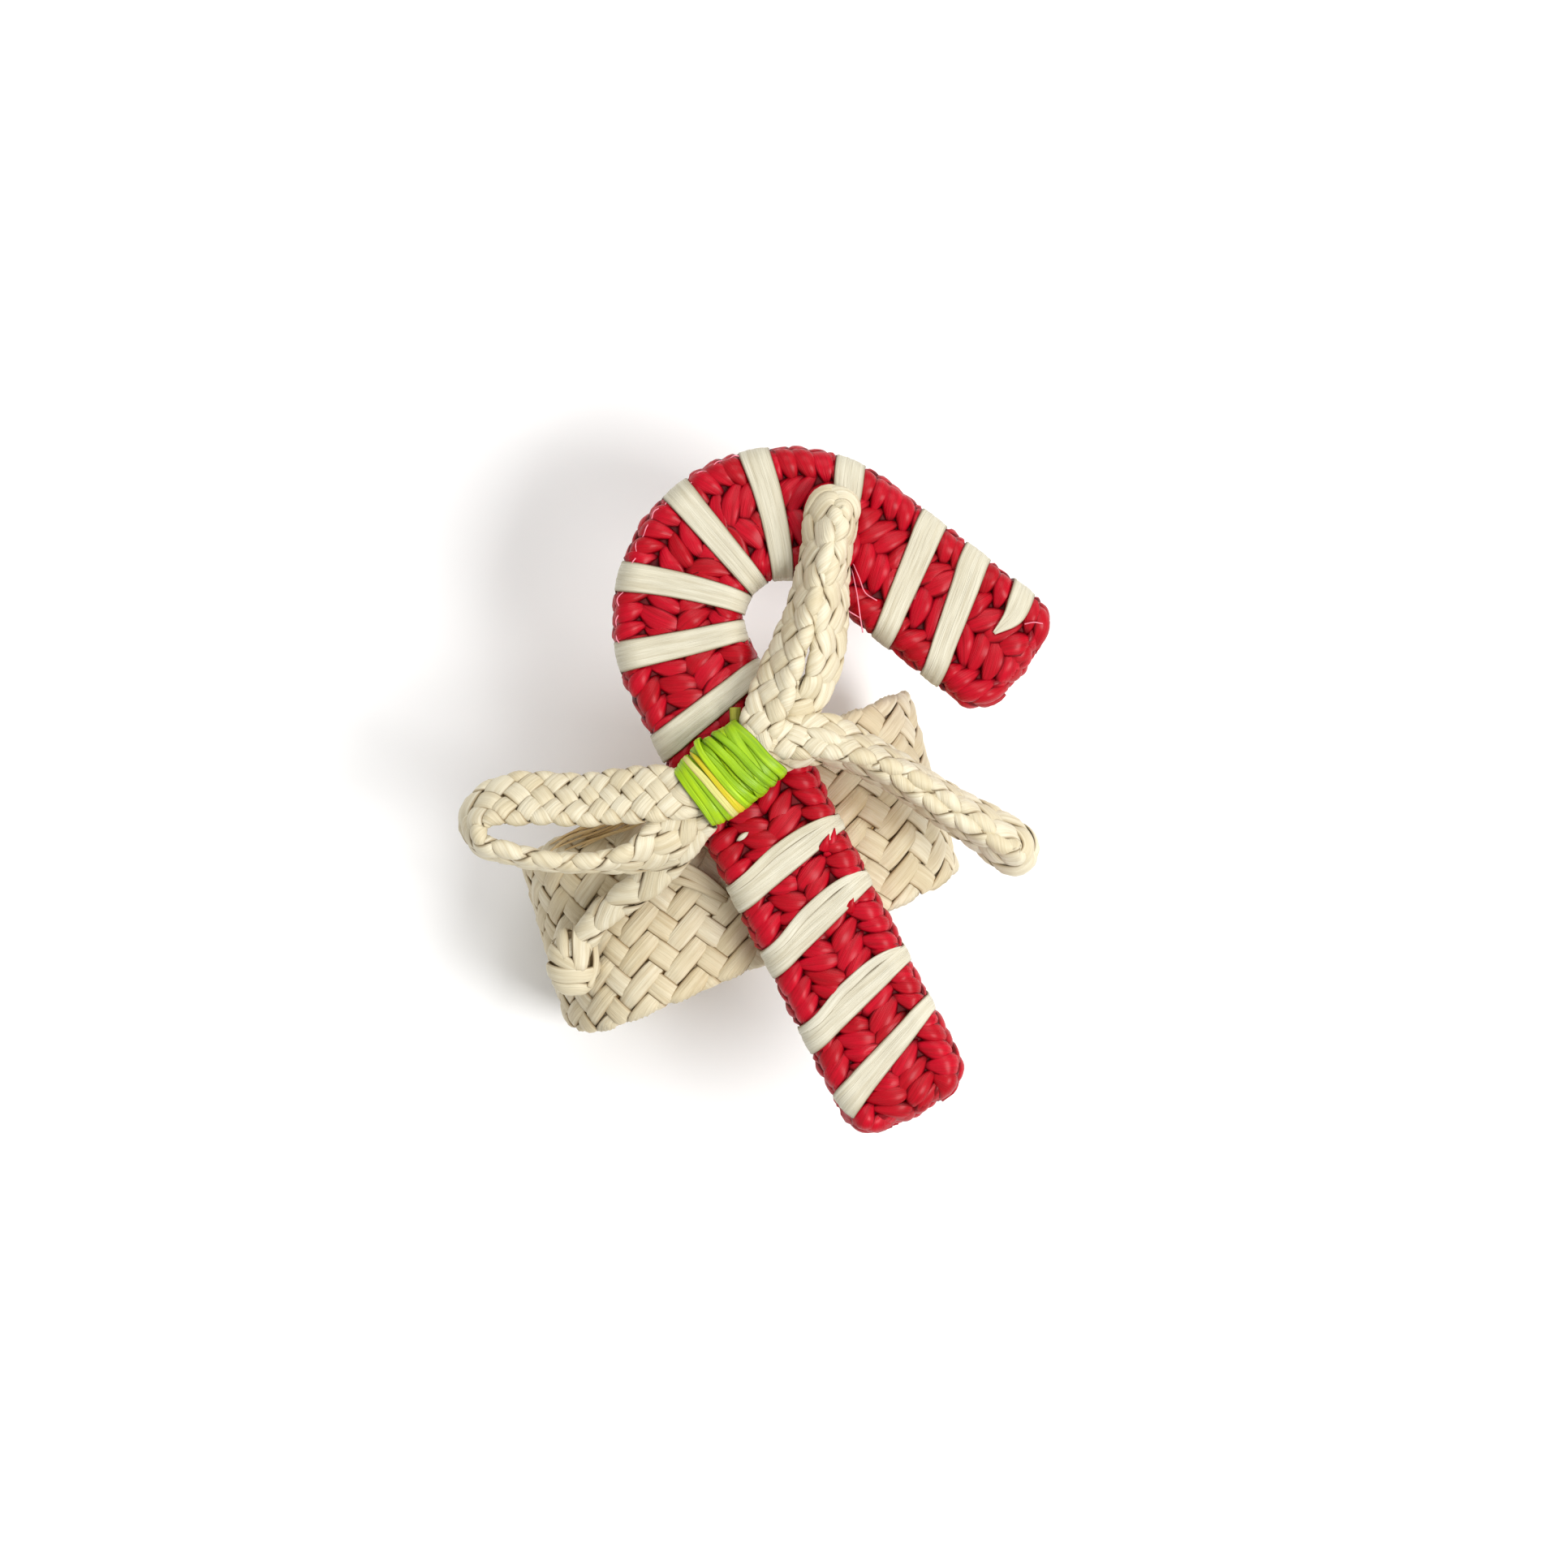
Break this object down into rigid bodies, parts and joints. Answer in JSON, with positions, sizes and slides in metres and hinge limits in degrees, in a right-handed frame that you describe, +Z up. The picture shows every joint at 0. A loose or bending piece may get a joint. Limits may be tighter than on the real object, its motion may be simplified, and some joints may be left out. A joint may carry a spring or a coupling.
{
  "type": "plaited palm candy cane napkin ring",
  "caption": "Wide woven palm-leaf napkin ring topped by a red plaited candy cane with pale wound stripes, tied with a green binding and a plaited bow.",
  "frame": {"origin": "middle of the hoop's flat base, which rests on z = 0", "axes": "+Z up through the cane and bow on top of the hoop, Y along the hoop's axis with the cane's hook towards +Y, +X towards the hook's tip"},
  "size_m": [0.084, 0.0938, 0.0507],
  "materials": {
    "palm_weave": "satin",
    "palm_plait": "satin",
    "palm_strip": "satin",
    "red_plait": "satin",
    "straw_filler": "matte",
    "green_strip": "satin",
    "pink_thread": "matte"
  },
  "bodies": {
    "root": {"hoop_band": "palm_weave", "cane_front_outer_plait": "red_plait", "cane_front_inner_plait": "red_plait", "cane_back_outer_plait": "red_plait", "cane_back_inner_plait": "red_plait", "cane_straw_filler": "straw_filler", "hook_stripe_strip": "palm_strip", "shaft_stripe_strip": "palm_strip", "cane_edge_stitches": "pink_thread", "mounting_stitches": "pink_thread", "bow_bunch": "palm_plait", "bow_left_loop": "palm_plait", "bow_right_loop": "palm_plait", "bow_upper_loop": "palm_plait", "bow_tail_plait": "palm_plait", "tail_knot": "palm_plait", "tie_turns": "green_strip", "tie_over_strip": "green_strip", "tie_cut_end": "green_strip"}
  },
  "joints": []
}
